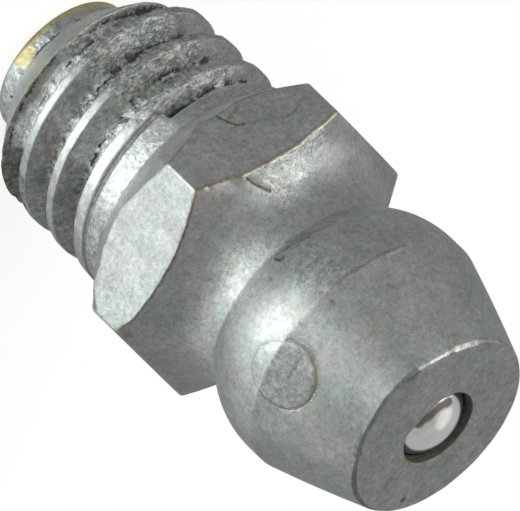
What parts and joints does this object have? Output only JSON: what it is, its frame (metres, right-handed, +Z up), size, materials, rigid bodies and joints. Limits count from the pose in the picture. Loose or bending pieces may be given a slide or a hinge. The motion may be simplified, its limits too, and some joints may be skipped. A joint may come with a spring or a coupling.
{
  "type": "grease nipple",
  "caption": "Straight hydraulic grease nipple with a threaded metric stud, hexagon, waisted cone head and a sprung ball check valve.",
  "frame": {"origin": "on the axis, in the plane of the stud's end face, which is the lowest point of the part", "axes": "+Z up the axis from the stud to the tip, +Y and -Y through corners of the hexagon, +X and -X through the middles of two flats"},
  "size_m": [0.007, 0.008, 0.0137],
  "materials": {
    "zinc_plated_steel": "dull zinc plate, tumbled, mottled grey with faint yellow passivation at the edges",
    "bearing_steel": "polished hardened ball",
    "spring_wire": "drawn spring steel, bright"
  },
  "bodies": {
    "fitting": {"nipple_body": "zinc_plated_steel", "check_spring": "spring_wire"},
    "ball": {"check_ball": "bearing_steel"}
  },
  "joints": [
    {"name": "ball_lift", "type": "slide", "parent": "fitting", "child": "ball", "axis": [0, 0, -1], "range_m": [0, 0.001], "stiffness_N_per_m": 650, "springref_m": -0.002, "deforming": ["check_spring"]}
  ]
}
